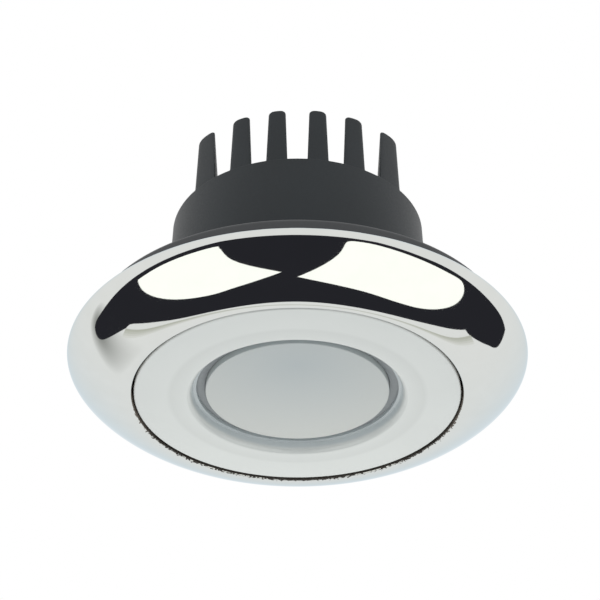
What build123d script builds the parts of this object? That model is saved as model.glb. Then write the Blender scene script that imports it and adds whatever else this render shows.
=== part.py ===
from build123d import *
import math
import os

# Recessed courtesy light for a ceiling or soffit, in millimetres.
# +Z points up into the ceiling, Z = 0 is the ceiling surface that the gasket seats on,
# and the lens faces down. The fins run front to back, along Y.

# Clearances
slip_gap = 0.15
seam_gap = 0.35
thread_gap = 0.05
spring_gap = 0.15

# Ceiling seat: gasket, mounting flange and the spigot that goes through the cut-out
gasket_overhang = 1.1
gasket_thickness = 3.0
gasket_bore_gap = 1.2
gasket_edge_round = 0.8
flange_rim_gap = 2.3
flange_thickness = 2.5
spigot_radius = 20.4
spigot_height = 6.0
ceiling_hole_radius = 1.65
ceiling_sink_radius = 2.9
ceiling_hole_count = 3
ceiling_hole_angle = 30.0
gasket_hole_gap = 0.5

# Heat sink cup and fins
body_top_radius = 20.0
roof_thickness = 4.0
driver_bore_radius = 16.0
ledge_height = 3.0
component_space = 6.5
standoff_height = 5.9
fin_count = 6
fin_pitch = 5.57
fin_middle_gain = 0.7
fin_root_thickness = 3.2
fin_tip_thickness = 2.65
fin_height = 9.8
fin_root_round = 0.3
fin_tip_round = 0.6

# Cable grommet in the roof
grommet_hole_radius = 4.0
grommet_lip_radius = 5.4
grommet_lip_thickness = 1.2
grommet_bore_radius = 2.4
grommet_lip_round = 0.5
grommet_clearing_gap = 1.1

# Front face: face ring, lens and seals
projection = 10.3
face_recess = 0.2
face_plate_thickness = 2.0
face_skirt_wall = 1.5
face_hub_wall = 0.35
face_spigot_wall = 1.4
face_spigot_height = 2.5
face_edge_round = 0.3
mouth_round = 1.0
mouth_draft = 0.5
mouth_depth = 1.6
mouth_ledge_width = 0.45
mouth_throat_gap = 1.4
lens_radius = 13.9
lens_recess = 1.2
lens_edge_round = 0.15
lens_groove_depth = 0.95
lens_flange_overlap = 2.6
lens_flange_thickness = 1.2
lens_seal_thickness = 0.8
housing_seal_section = 1.2
housing_seal_land = 1.0

# Machine screws, one size throughout
screw_radius = 1.0
screw_head_radius = 1.9
screw_head_height = 1.3
screw_length = 5.0
housing_screw_length = 3.5
housing_screw_count = 3
housing_screw_angle = 90.0
screw_socket_radius = 0.75
screw_socket_depth = 0.7
boss_wall = 1.4

# LED board and its optics
board_thickness = 1.6
thermal_pad_thickness = 0.5
led_board_radius = 17.4
led_board_gap = 0.6
led_count = 6
led_size = 3.0
led_height = 0.7
led_circle = 5.4
led_lens_radius = 1.2
reflector_throat_radius = 8.6
reflector_mouth_overlap = 0.7
reflector_wall = 0.9
reflector_lip_gap = 0.3
reflector_lip_thickness = 1.0
board_boss_circle = 13.3
board_boss_count = 3

# Driver board and its parts
driver_board_radius = 15.4
standoff_circle = 8.0
standoff_count = 3
inductor_radius = 3.0
inductor_height = 4.2
inductor_flange = 0.8
inductor_core_radius = 1.4
winding_radius = 2.5
capacitor_radius = 2.6
capacitor_height = 4.4
capacitor_groove = 0.25
capacitor_groove_level = 0.9
chip_length = 5.0
chip_width = 3.9
chip_height = 1.5
chip_leads_per_side = 4
chip_lead_pitch = 1.27
chip_lead_width = 0.42
chip_lead_reach = 0.9
diode_length = 4.3
diode_width = 2.6
diode_height = 2.1
resistor_length = 2.0
resistor_width = 1.25
resistor_height = 0.6
terminal_length = 5.6
terminal_width = 7.0
terminal_height = 3.4
terminal_way_radius = 1.1
terminal_pitch = 3.5
terminal_floor = 1.1
header_length = 5.1
header_width = 2.5
header_height = 2.5
header_pitch = 2.54
pin_width = 0.64
socket_length = 5.4
socket_width = 3.2
socket_height = 1.8

# Where the driver's parts stand on their board, seen from above
inductor_at = (-2.2, 6.6)
capacitor_at = (-2.8, -6.0)
chip_at = (6.9, 0.0)
terminal_at = (5.4, 0.0)
diode_points = [(-3.2, -5.9), (-1.2, -9.8)]
resistor_points = [(-11.2, 3.2), (-11.2, -3.2), (3.6, -11.4), (8.4, -7.4), (-8.2, 6.4)]

# Bezel
bezel_radius = 35.0
bezel_wall = 1.5
bezel_rim_gap = 3.5
bezel_rim_round = 0.65
bezel_lip_round = 0.2
bezel_front_reach = 4.2
bezel_side_reach = 1.5
sleeve_wall = 1.4
snap_wire_radius = 0.5
snap_ring_opening = 30.0
snap_groove_gap = 0.15

# Levels and fits that follow from the sizes above
gasket_bore_radius = spigot_radius + gasket_bore_gap
flange_top = -gasket_thickness
flange_bottom = flange_top - flange_thickness
flange_radius = bezel_radius - bezel_wall - flange_rim_gap
gasket_radius = flange_radius + gasket_overhang
led_board_back = ledge_height - thermal_pad_thickness
led_board_front = led_board_back - board_thickness
light_bore_radius = led_board_radius + led_board_gap
driver_board_level = led_board_back + component_space
driver_board_back = driver_board_level + board_thickness
roof_bottom = driver_board_back + standoff_height
body_height = roof_bottom + roof_thickness
fin_top = body_height + fin_height
draft = (spigot_radius - body_top_radius) / (body_height - spigot_height)
lip_level = -projection
face_front = lip_level + face_recess
lens_front = face_front + lens_recess
lens_seal_front = lens_front + lens_groove_depth
lens_flange_front = lens_seal_front + lens_seal_thickness
lens_back = lens_flange_front + lens_flange_thickness
lens_flange_radius = lens_radius + lens_flange_overlap
lens_seat_radius = lens_flange_radius + slip_gap
mouth_throat_radius = lens_radius + mouth_throat_gap
mouth_ledge_radius = mouth_throat_radius + mouth_ledge_width
mouth_ledge_level = face_front + mouth_depth
mouth_radius = mouth_ledge_radius + mouth_draft
face_spigot_radius = lens_seat_radius + face_spigot_wall
face_bore_radius = face_spigot_radius + slip_gap
face_spigot_top = flange_bottom + face_spigot_height
housing_seal_circle = face_bore_radius + housing_seal_land
housing_groove_half = housing_seal_section / 2 + slip_gap
face_hub_radius = housing_seal_circle + housing_groove_half + face_hub_wall
reflector_lip_radius = lens_flange_radius - reflector_lip_gap
reflector_mouth_radius = lens_radius - reflector_mouth_overlap
pilot_radius = screw_radius + thread_gap
boss_radius = pilot_radius + boss_wall
head_seat_radius = screw_head_radius + slip_gap
housing_screw_circle = spigot_radius + head_seat_radius + slip_gap
housing_screw_seat = flange_top - screw_head_height - thread_gap
face_radius = housing_screw_circle + head_seat_radius
skirt_inside_radius = face_radius - face_skirt_wall
sleeve_radius = face_radius + seam_gap
ceiling_hole_circle = (sleeve_radius + flange_radius) / 2
snap_ring_circle = sleeve_radius - spring_gap - snap_wire_radius
snap_level = (lip_level + flange_bottom) / 2


def around(radius, count, first_angle):
    """Points evenly spaced on a circle, the first at first_angle degrees."""
    angles = [math.radians(first_angle + 360 * i / count) for i in range(count)]
    return [(radius * math.cos(angle), radius * math.sin(angle)) for angle in angles]


def disc(radius, low, high, at=(0, 0)):
    """An upright cylinder between two levels."""
    return Pos(at[0], at[1], (low + high) / 2) * Cylinder(radius, high - low)


def washer(inner, outer, low, high, at=(0, 0)):
    """An upright ring of rectangular section."""
    return disc(outer, low, high, at) - disc(inner, low, high, at)


def block(length, width, low, high, at=(0, 0)):
    """A box of the given length along X and width along Y between two levels."""
    return Pos(at[0], at[1], (low + high) / 2) * Box(length, width, high - low)


def turned(*points):
    """A solid turned about Z from a closed outline of (radius, level) points."""
    outline = make_face(Polyline(*points, close=True))
    return revolve(Plane.XZ * outline, Axis.Z)


def at_corner(shape, radius, level):
    """The vertex of a flat outline nearest to a (radius, level) point."""
    return shape.vertices().sort_by_distance((radius, level, 0))[0]


def drilled(shape, radius, low, high, points):
    """The shape with a round hole at each point."""
    for point in points:
        shape -= disc(radius, low, high, point)
    return shape


def machine_screw(seat, way, length, at):
    """A socket-head screw. Its head bears on the level seat and its shank points up (1) or down (-1)."""
    shank_end = seat + way * length
    head_end = seat - way * screw_head_height
    socket_end = head_end + way * screw_socket_depth
    screw = disc(screw_radius, min(seat, shank_end), max(seat, shank_end), at)
    screw += disc(screw_head_radius, min(seat, head_end), max(seat, head_end), at)
    socket = Pos(at[0], at[1], min(head_end, socket_end)) * RegularPolygon(screw_socket_radius, 6)
    return screw - extrude(socket, screw_socket_depth)


def group(solids):
    """Separate like solids that share one node."""
    return Compound(children=list(solids))


def screws(seat, way, length, points):
    """Like machine screws, one at each point."""
    return group(machine_screw(seat, way, length, point) for point in points)


board_screw_points = around(board_boss_circle, board_boss_count, 0)
standoff_points = around(standoff_circle, standoff_count, 180 / standoff_count)
housing_screw_points = around(housing_screw_circle, housing_screw_count, housing_screw_angle)
ceiling_hole_points = around(ceiling_hole_circle, ceiling_hole_count, ceiling_hole_angle)


def cone_radius(level):
    """Outside radius of the drafted body, which the fins carry on upwards."""
    return spigot_radius - draft * (level - spigot_height)


def make_fins():
    """Parallel drafted plates on the roof, wider apart in the middle, trimmed to the body's own taper."""
    half_span = spigot_radius
    half_root = fin_root_thickness / 2
    half_tip = fin_tip_thickness / 2
    comb = Pos(0, roof_bottom + roof_thickness / 2) * Rectangle(2 * half_span, roof_thickness)
    for i in range(fin_count):
        step = i - (fin_count - 1) / 2
        middle = step * fin_pitch + math.copysign(fin_middle_gain / 2, step)
        plate = Polyline(
            (middle - half_root, body_height),
            (middle - half_tip, fin_top),
            (middle + half_tip, fin_top),
            (middle + half_root, body_height),
            close=True,
        )
        comb += make_face(plate)
    rows = comb.vertices().group_by(Axis.Y)
    root_corners = rows[1].sort_by(Axis.X)[1:-1]
    comb = fillet(root_corners, fin_root_round)
    tip_corners = comb.vertices().group_by(Axis.Y)[-1]
    comb = fillet(tip_corners, fin_tip_round)
    plates = extrude(Plane.XZ * comb, half_span, both=True)
    envelope = turned(
        (0, roof_bottom),
        (cone_radius(roof_bottom), roof_bottom),
        (cone_radius(fin_top), fin_top),
        (0, fin_top),
    )
    clearing = disc(grommet_lip_radius + grommet_clearing_gap, body_height, fin_top)
    return (plates & envelope) - clearing


def make_heat_sink():
    """Die-cast finned cup: flange with countersunk holes, spigot, stepped bore, bosses and standoffs."""
    sink = turned(
        (face_bore_radius, flange_bottom),
        (flange_radius, flange_bottom),
        (flange_radius, flange_top),
        (spigot_radius, flange_top),
        (spigot_radius, spigot_height),
        (cone_radius(roof_bottom), roof_bottom),
        (driver_bore_radius, roof_bottom),
        (driver_bore_radius, ledge_height),
        (light_bore_radius, ledge_height),
        (light_bore_radius, face_spigot_top),
        (face_bore_radius, face_spigot_top),
    )
    sink += make_fins()
    bore = disc(driver_bore_radius + slip_gap, led_board_back, roof_bottom)
    for point in board_screw_points:
        sink += disc(boss_radius, led_board_back, roof_bottom, point) & bore
    for point in standoff_points:
        sink += disc(boss_radius, driver_board_back, roof_bottom, point)
    board_screw_end = led_board_back + screw_length
    driver_screw_end = driver_board_level + screw_length
    sink = drilled(sink, pilot_radius, led_board_back, board_screw_end, board_screw_points)
    sink = drilled(sink, pilot_radius, driver_board_back, driver_screw_end, standoff_points)
    sink = drilled(sink, grommet_hole_radius, roof_bottom, body_height, [(0, 0)])
    sink = drilled(sink, ceiling_hole_radius, flange_bottom, flange_top, ceiling_hole_points)
    sink_depth = ceiling_sink_radius - ceiling_hole_radius
    for point in ceiling_hole_points:
        countersink = Cone(ceiling_sink_radius, ceiling_hole_radius, sink_depth)
        sink -= Pos(point[0], point[1], flange_bottom + sink_depth / 2) * countersink
    sink = drilled(sink, head_seat_radius, housing_screw_seat, flange_top, housing_screw_points)
    return drilled(sink, pilot_radius, flange_bottom, flange_top, housing_screw_points)


def make_gasket():
    """Soft ring between the flange and the ceiling, its outer top edge rounded over."""
    gasket = washer(gasket_bore_radius, gasket_radius, flange_top, 0)
    outer_top = gasket.edges().filter_by(GeomType.CIRCLE).group_by(Axis.Z)[-1].sort_by(SortBy.RADIUS)[-1]
    gasket = fillet(outer_top, gasket_edge_round)
    return drilled(gasket, ceiling_hole_radius + gasket_hole_gap, flange_top, 0, ceiling_hole_points)


def make_grommet():
    """Rubber cable inlet with a lip each side of the roof."""
    lip_low = roof_bottom - grommet_lip_thickness
    lip_high = body_height + grommet_lip_thickness
    neck = grommet_hole_radius - thread_gap
    outline = make_face(
        Polyline(
            (grommet_bore_radius, lip_low),
            (grommet_lip_radius, lip_low),
            (grommet_lip_radius, roof_bottom),
            (neck, roof_bottom),
            (neck, body_height),
            (grommet_lip_radius, body_height),
            (grommet_lip_radius, lip_high),
            (grommet_bore_radius, lip_high),
            close=True,
        )
    )
    outline = fillet(at_corner(outline, grommet_lip_radius, lip_high), grommet_lip_round)
    outline = fillet(at_corner(outline, grommet_lip_radius, lip_low), grommet_lip_round)
    return revolve(Plane.XZ * outline, Axis.Z)


def make_face_ring():
    """Moulded front: plate with a stepped mouth, hub with lens seat and seal groove, skirt, bosses."""
    plate_back = face_front + face_plate_thickness
    groove_floor = flange_bottom - housing_seal_section
    outline = make_face(
        Polyline(
            (mouth_radius, face_front),
            (face_radius, face_front),
            (face_radius, flange_bottom),
            (skirt_inside_radius, flange_bottom),
            (skirt_inside_radius, plate_back),
            (face_hub_radius, plate_back),
            (face_hub_radius, flange_bottom),
            (housing_seal_circle + housing_groove_half, flange_bottom),
            (housing_seal_circle + housing_groove_half, groove_floor),
            (housing_seal_circle - housing_groove_half, groove_floor),
            (housing_seal_circle - housing_groove_half, flange_bottom),
            (face_spigot_radius, flange_bottom),
            (face_spigot_radius, face_spigot_top - slip_gap),
            (lens_seat_radius, face_spigot_top - slip_gap),
            (lens_seat_radius, lens_seal_front),
            (mouth_throat_radius, lens_seal_front),
            (mouth_throat_radius, mouth_ledge_level),
            (mouth_ledge_radius, mouth_ledge_level),
            close=True,
        )
    )
    outline = fillet(at_corner(outline, face_radius, face_front), face_edge_round)
    outline = fillet(at_corner(outline, mouth_radius, face_front), mouth_round)
    ring = revolve(Plane.XZ * outline, Axis.Z)
    channel_outside = skirt_inside_radius + slip_gap
    channel = washer(face_hub_radius - slip_gap, channel_outside, plate_back, flange_bottom)
    for point in housing_screw_points:
        ring += disc(boss_radius, plate_back, flange_bottom, point) & channel
    screw_tip = housing_screw_seat - housing_screw_length - thread_gap
    ring = drilled(ring, pilot_radius, screw_tip, flange_bottom, housing_screw_points)
    groove_radius = snap_ring_circle - snap_wire_radius - slip_gap
    groove_half = snap_wire_radius + snap_groove_gap
    return ring - washer(groove_radius, face_radius, snap_level - groove_half, snap_level + groove_half)


def make_housing_seal():
    """O-ring in the face ring's groove, closed by the flange."""
    section_radius = housing_seal_section / 2
    return Pos(0, 0, flange_bottom - section_radius) * Torus(housing_seal_circle, section_radius)


def make_lens():
    """Frosted window: a plug that fills the mouth and a wider flange held behind it."""
    outline = make_face(
        Polyline(
            (0, lens_front),
            (lens_radius, lens_front),
            (lens_radius, lens_flange_front),
            (lens_flange_radius, lens_flange_front),
            (lens_flange_radius, lens_back),
            (0, lens_back),
            close=True,
        )
    )
    outline = fillet(at_corner(outline, lens_radius, lens_front), lens_edge_round)
    return revolve(Plane.XZ * outline, Axis.Z)


def make_reflector():
    """White cone from the board to the lens, with a lip that presses the lens onto its seal."""
    lip_top = lens_back + reflector_lip_thickness
    return turned(
        (reflector_throat_radius, led_board_front),
        (reflector_throat_radius + reflector_wall, led_board_front),
        (reflector_mouth_radius + reflector_wall, lip_top),
        (reflector_lip_radius, lip_top),
        (reflector_lip_radius, lens_back),
        (reflector_mouth_radius, lens_back),
    )


def make_led_board():
    """Round metal-core board with screw holes and a slot for the header pins."""
    board = disc(led_board_radius, led_board_front, led_board_back)
    board = drilled(board, pilot_radius, led_board_front, led_board_back, board_screw_points)
    return board - block(header_length, header_width, led_board_front, led_board_back)


def make_leds():
    """Surface-mounted emitters, each a flat package with a small domed window."""
    for point in around(led_circle, led_count, 0):
        package_front = led_board_front - led_height
        package = block(led_size, led_size, package_front, led_board_front, point)
        dome = Pos(point[0], point[1], package_front) * Sphere(led_lens_radius)
        below = block(led_size, led_size, package_front - led_lens_radius, led_board_front, point)
        yield package + (dome & below)


def make_driver_board():
    """Round driver board, notched for the LED board's bosses."""
    low = driver_board_level
    high = driver_board_back
    board = disc(driver_board_radius, low, high)
    board = drilled(board, boss_radius + slip_gap, low, high, board_screw_points)
    return drilled(board, pilot_radius, low, high, standoff_points)


def make_inductor_core():
    """Ferrite drum: two flanges on a waist that carries the winding."""
    high = driver_board_level
    low = high - inductor_height
    core = disc(inductor_core_radius, low, high, inductor_at)
    core += disc(inductor_radius, low, low + inductor_flange, inductor_at)
    return core + disc(inductor_radius, high - inductor_flange, high, inductor_at)


def make_winding():
    """Copper winding between the drum's flanges."""
    low = driver_board_level - inductor_height + inductor_flange
    high = driver_board_level - inductor_flange
    return washer(inductor_core_radius + thread_gap, winding_radius, low, high, inductor_at)


def make_capacitor():
    """Electrolytic can with the crimped waist above its base."""
    low = driver_board_back
    high = low + capacitor_height
    can = disc(capacitor_radius, low, high, capacitor_at)
    can = fillet(can.edges().filter_by(GeomType.CIRCLE).sort_by(Axis.Z)[-1], capacitor_groove)
    waist_low = low + capacitor_groove_level
    waist_high = waist_low + 2 * capacitor_groove
    waist_radius = capacitor_radius - capacitor_groove
    return can - washer(waist_radius, capacitor_radius, waist_low, waist_high, capacitor_at)


def make_chip():
    """Driver chip with a row of leads along each long side."""
    low = driver_board_level - chip_height
    lead_level = driver_board_level - chip_height / 2
    lead_span = chip_width + 2 * chip_lead_reach
    chip = block(chip_width, chip_length, low, driver_board_level, chip_at)
    for i in range(chip_leads_per_side):
        along = (i - (chip_leads_per_side - 1) / 2) * chip_lead_pitch
        lead_at = (chip_at[0], chip_at[1] + along)
        chip += block(lead_span, chip_lead_width, lead_level, driver_board_level, lead_at)
    return chip


def make_terminal():
    """Two-way push-in terminal that takes the supply leads."""
    low = driver_board_back
    high = low + terminal_height
    terminal = block(terminal_length, terminal_width, low, high, terminal_at)
    for offset in (-terminal_pitch / 2, terminal_pitch / 2):
        way_at = (terminal_at[0], terminal_at[1] + offset)
        terminal -= disc(terminal_way_radius, low + terminal_floor, high, way_at)
    return terminal


def under_driver_board(length, width, height, points):
    """Like box-shaped parts soldered under the driver board, one at each point."""
    high = driver_board_level
    return group(block(length, width, high - height, high, point) for point in points)


def make_header():
    """Insulator of the two-pin header under the driver board."""
    high = driver_board_level
    low = high - header_height
    header = block(header_length, header_width, low, high)
    for x in (-header_pitch / 2, header_pitch / 2):
        header -= block(pin_width, pin_width, low, high, (x, 0))
    return header


def make_header_pins():
    """Square pins from the driver board down to the socket on the LED board."""
    low = led_board_front - socket_height / 2
    for x in (-header_pitch / 2, header_pitch / 2):
        yield block(pin_width, pin_width, low, driver_board_level, (x, 0))


def make_led_socket():
    """Bottom-entry socket on the LED side of the board, over the slot."""
    high = led_board_front
    low = high - socket_height
    socket = block(socket_length, socket_width, low, high)
    for x in (-header_pitch / 2, header_pitch / 2):
        socket -= block(pin_width, pin_width, high - socket_height / 2, high, (x, 0))
    return socket


def make_bezel():
    """Domed trim ring, and the sleeve inside it that slides over the face ring.

    The dome is one smooth curve that leaves the lip level and reaches the rim upright.
    """
    rim = -bezel_rim_gap
    dome_start = (sleeve_radius + bezel_lip_round, lip_level)
    dome_end = (bezel_radius, rim - bezel_rim_round)
    sleeve_outside = sleeve_radius + sleeve_wall
    inside_start = (sleeve_outside, lip_level + bezel_wall)
    inside_end = (bezel_radius - bezel_wall, dome_end[1])
    outline = make_face(
        [
            Line((sleeve_radius, flange_bottom), (sleeve_radius, lip_level + bezel_lip_round)),
            JernArc((sleeve_radius, lip_level + bezel_lip_round), (0, -1), bezel_lip_round, 90),
            Bezier(
                dome_start,
                (dome_start[0] + bezel_front_reach, lip_level),
                (bezel_radius, dome_end[1] - bezel_side_reach),
                dome_end,
            ),
            JernArc(dome_end, (0, 1), bezel_rim_round, 90),
            Polyline((bezel_radius - bezel_rim_round, rim), (bezel_radius - bezel_wall, rim), inside_end),
            Bezier(
                inside_end,
                (inside_end[0], inside_end[1] - bezel_side_reach),
                (inside_start[0] + bezel_front_reach - bezel_wall, inside_start[1]),
                inside_start,
            ),
            Polyline(inside_start, (sleeve_outside, flange_bottom), (sleeve_radius, flange_bottom)),
        ]
    )
    bezel = revolve(Plane.XZ * outline, Axis.Z)
    groove_radius = sleeve_radius + spring_gap
    groove_half = snap_wire_radius + snap_groove_gap
    return bezel - washer(face_radius, groove_radius, snap_level - groove_half, snap_level + groove_half)


def make_snap_ring():
    """Open spring-wire ring in the face ring's groove that the bezel's sleeve snaps over."""
    section = Pos(snap_ring_circle, snap_level) * Circle(snap_wire_radius)
    return revolve(Plane.XZ * section, Axis.Z, 360 - snap_ring_opening)


nodes = {
    "heat_sink": make_heat_sink(),
    "mounting_gasket": make_gasket(),
    "cable_grommet": make_grommet(),
    "face_ring": make_face_ring(),
    "housing_seal": make_housing_seal(),
    "housing_screws": screws(housing_screw_seat, -1, housing_screw_length, housing_screw_points),
    "lens": make_lens(),
    "lens_seal": washer(lens_radius + thread_gap, lens_flange_radius, lens_seal_front, lens_flange_front),
    "reflector": make_reflector(),
    "thermal_pad": washer(driver_bore_radius, led_board_radius, led_board_back, ledge_height),
    "led_board": make_led_board(),
    "led_emitters": group(make_leds()),
    "led_socket": make_led_socket(),
    "board_screws": screws(led_board_front, 1, screw_length, board_screw_points),
    "driver_board": make_driver_board(),
    "driver_screws": screws(driver_board_level, 1, screw_length, standoff_points),
    "inductor_core": make_inductor_core(),
    "inductor_winding": make_winding(),
    "input_capacitor": make_capacitor(),
    "driver_chip": make_chip(),
    "rectifier_diodes": under_driver_board(diode_length, diode_width, diode_height, diode_points),
    "chip_resistors": under_driver_board(resistor_length, resistor_width, resistor_height, resistor_points),
    "terminal_block": make_terminal(),
    "header_block": make_header(),
    "header_pins": group(make_header_pins()),
    "bezel": make_bezel(),
    "bezel_snap_ring": make_snap_ring(),
}

os.makedirs("parts", exist_ok=True)
for name, shape in nodes.items():
    export_step(shape, f"parts/{name}.step")
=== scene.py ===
import math

import bmesh
import bpy
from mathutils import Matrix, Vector


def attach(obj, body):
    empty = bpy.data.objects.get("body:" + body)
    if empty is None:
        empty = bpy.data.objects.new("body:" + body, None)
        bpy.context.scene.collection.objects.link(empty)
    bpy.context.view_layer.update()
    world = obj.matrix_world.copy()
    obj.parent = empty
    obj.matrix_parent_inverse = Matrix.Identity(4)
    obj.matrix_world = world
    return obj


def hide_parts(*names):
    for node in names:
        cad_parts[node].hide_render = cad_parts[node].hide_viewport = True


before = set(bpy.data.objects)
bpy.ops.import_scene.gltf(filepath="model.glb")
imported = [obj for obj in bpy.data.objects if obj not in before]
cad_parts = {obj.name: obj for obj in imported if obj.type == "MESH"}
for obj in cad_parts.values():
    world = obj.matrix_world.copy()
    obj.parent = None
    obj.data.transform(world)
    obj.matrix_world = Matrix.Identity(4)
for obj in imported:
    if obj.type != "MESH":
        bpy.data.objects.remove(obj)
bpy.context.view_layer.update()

# Heat sink: a black die-cast aluminium cup with six parallel plate fins on its roof. Its flange
# carries the whole light and is screwed to the ceiling through three countersunk holes.
# Walls and fins taper so that the casting leaves its die, and the ejector pins left four marks.

mm = 0.001
flange_radius = 31.2
flange_top = -3.0
flange_bottom = -5.5
flange_front_round = 0.3
flange_back_round = 0.2
spigot_radius = 20.4
spigot_height = 6.0
body_top_radius = 20.0
body_height = 20.5
roof_edge_round = 0.12
roof_bottom = 16.5
driver_bore_radius = 16.0
ledge_height = 3.0
light_bore_radius = 18.0
face_bore_radius = 18.2
face_spigot_top = -3.0
grommet_hole_radius = 4.0
merge_distance = 0.002
sharp_angle = 35


def rounded(corners, steps=6):
    """An outline whose (radius, level, rounding) corners are turned into arcs."""
    outline = []
    for i, (radius, level, rounding) in enumerate(corners):
        corner = Vector((radius, level))
        if rounding == 0:
            outline.append(corner)
            continue
        before = (Vector(corners[i - 1][:2]) - corner).normalized()
        after = (Vector(corners[(i + 1) % len(corners)][:2]) - corner).normalized()
        half = before.angle(after) / 2
        middle = corner + (before + after).normalized() * rounding / math.sin(half)
        first = corner + before * rounding / math.tan(half) - middle
        last = corner + after * rounding / math.tan(half) - middle
        for step in range(steps + 1):
            outline.append(middle + first.slerp(last, step / steps) * rounding)
    return outline


def smooth(mesh):
    """Shades a mesh smooth except across its sharp edges."""
    mesh.shade_smooth()
    mesh.set_sharp_from_angle(angle=math.radians(sharp_angle))


def finished(name, shape):
    """A new object from a shape in millimetres, with the points that lie on each other merged."""
    bmesh.ops.remove_doubles(shape, verts=shape.verts, dist=merge_distance)
    bmesh.ops.recalc_face_normals(shape, faces=shape.faces)
    bmesh.ops.scale(shape, vec=(mm, mm, mm), verts=shape.verts)
    mesh = bpy.data.meshes.new(name)
    shape.to_mesh(mesh)
    shape.free()
    smooth(mesh)
    piece = bpy.data.objects.new(name, mesh)
    bpy.context.scene.collection.objects.link(piece)
    return piece


def turned(name, outline, at=(0, 0), steps=192):
    """A piece turned about an upright axis from a closed outline of (radius, level) points."""
    shape = bmesh.new()
    points = [shape.verts.new((radius, 0, level)) for radius, level in outline]
    lines = [shape.edges.new((points[i - 1], points[i])) for i in range(len(points))]
    bmesh.ops.spin(
        shape,
        geom=points + lines,
        axis=(0, 0, 1),
        cent=(0, 0, 0),
        angle=2 * math.pi,
        steps=steps,
    )
    bmesh.ops.translate(shape, vec=(at[0], at[1], 0), verts=shape.verts)
    return finished(name, shape)


sink_outline = rounded(
    [
        (face_bore_radius, flange_bottom, 0),
        (flange_radius, flange_bottom, flange_front_round),
        (flange_radius, flange_top, flange_back_round),
        (spigot_radius, flange_top, 0),
        (spigot_radius, spigot_height, 0),
        (body_top_radius, body_height, roof_edge_round),
        (grommet_hole_radius, body_height, 0),
        (grommet_hole_radius, roof_bottom, 0),
        (driver_bore_radius, roof_bottom, 0),
        (driver_bore_radius, ledge_height, 0),
        (light_bore_radius, ledge_height, 0),
        (light_bore_radius, face_spigot_top, 0),
        (face_bore_radius, face_spigot_top, 0),
    ]
)
heat_sink = turned("finned_sink", sink_outline)

# The fins end on the drafted line of the cup's wall, and the inner pair is parted round the grommet,
# with a slightly wider gap in the middle. The shares of a fin's half thickness at which its ends are
# drawn lie closest at the rounded corners.
fin_count = 6
fin_pitch = 5.57
fin_middle_gain = 0.7
fin_root_half = 1.6
fin_tip_half = 1.325
fin_top = 30.3
fin_foot_depth = 0.4
fin_root_round = 0.3
fin_tip_round = 0.6
fin_end_round = 0.3
fin_end_inset = 0.02
clearing_radius = 6.5
half_shares = [0.5, 0.8, 0.9, 0.97, 1]


def sink_radius(level):
    """Outside radius of the drafted cup, which the fins carry on upwards."""
    draft = (spigot_radius - body_top_radius) / (body_height - spigot_height)
    return spigot_radius - draft * (level - spigot_height)


def fin_sections(steps=5):
    """Levels up a fin with its half thickness there, from its rounded foot to its rounded tip."""
    sections = [(body_height - fin_foot_depth, fin_root_half + fin_root_round)]
    for step in range(1, steps + 1):
        angle = math.pi / 2 * step / steps
        level = body_height + fin_root_round * (1 - math.cos(angle))
        sections.append((level, fin_root_half + fin_root_round * (1 - math.sin(angle))))
    for step in range(steps + 1):
        angle = math.pi / 2 * step / steps
        level = fin_top - fin_tip_round * (1 - math.sin(angle))
        sections.append((level, fin_tip_half - fin_tip_round * (1 - math.cos(angle))))
    return sections


def add_fin(shape, middle, inner_radius, side):
    """One fin plate, or with an inner radius the half of it on one side of the grommet."""
    across = [-share for share in half_shares[::-1]] + [0] + half_shares
    below = None
    for level, half in fin_sections():
        outer_end = []
        inner_end = []
        end_round = min(fin_end_round, half)
        end_radius = sink_radius(level) - fin_end_inset
        for share in across:
            x = middle + half * share
            into_corner = max(0, half * abs(share) - (half - end_round))
            drop = end_round - math.sqrt(max(0, end_round**2 - into_corner**2))
            reach = math.sqrt(max(0, end_radius**2 - x**2)) - drop
            start = -reach
            if inner_radius:
                start = math.sqrt(max(0, inner_radius**2 - x**2)) + drop
            outer_end.append(shape.verts.new((x, side * reach, level)))
            inner_end.append(shape.verts.new((x, side * start, level)))
        loop = outer_end + inner_end[::-1]
        if below is None:
            shape.faces.new(loop)
        else:
            for i in range(len(loop)):
                shape.faces.new((below[i - 1], below[i], loop[i], loop[i - 1]))
        below = loop
    shape.faces.new(below)


fin_shape = bmesh.new()
for fin in range(fin_count):
    pitches_out = fin - (fin_count - 1) / 2
    fin_middle = pitches_out * fin_pitch + math.copysign(fin_middle_gain / 2, pitches_out)
    if abs(fin_middle) + fin_root_half < clearing_radius:
        add_fin(fin_shape, fin_middle, clearing_radius, 1)
        add_fin(fin_shape, fin_middle, clearing_radius, -1)
    else:
        add_fin(fin_shape, fin_middle, 0, 1)

# Holes in the flange, countersunk for the ceiling screws and stepped for the heads of the face ring's
# screws, and the ejector marks midway between the fins.
screw_count = 3
ceiling_hole_circle = 28.1
ceiling_hole_angle = 30
ceiling_hole_radius = 1.65
ceiling_sink_radius = 2.9
housing_screw_circle = 22.6
housing_screw_angle = 90
screw_head_seat_radius = 2.05
screw_head_seat = -4.35
pilot_radius = 1.05
ejector_mark_radius = 0.8
ejector_mark_depth = 0.12
ejector_mark_circle = 14.5
tool_overlap = 1.0


def around(radius, count, first_angle):
    """Points evenly spaced on a circle."""
    angles = [math.radians(first_angle + 360 * i / count) for i in range(count)]
    return [(radius * math.cos(angle), radius * math.sin(angle)) for angle in angles]


def spread(name, outline, points, steps=50):
    """Small turned pieces of one outline, one at each point."""
    return [turned(name, outline, point, steps) for point in points]


def pin(radius, low, high):
    """The outline of an upright round pin."""
    return [(0, low), (radius, low), (radius, high), (0, high)]


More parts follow.
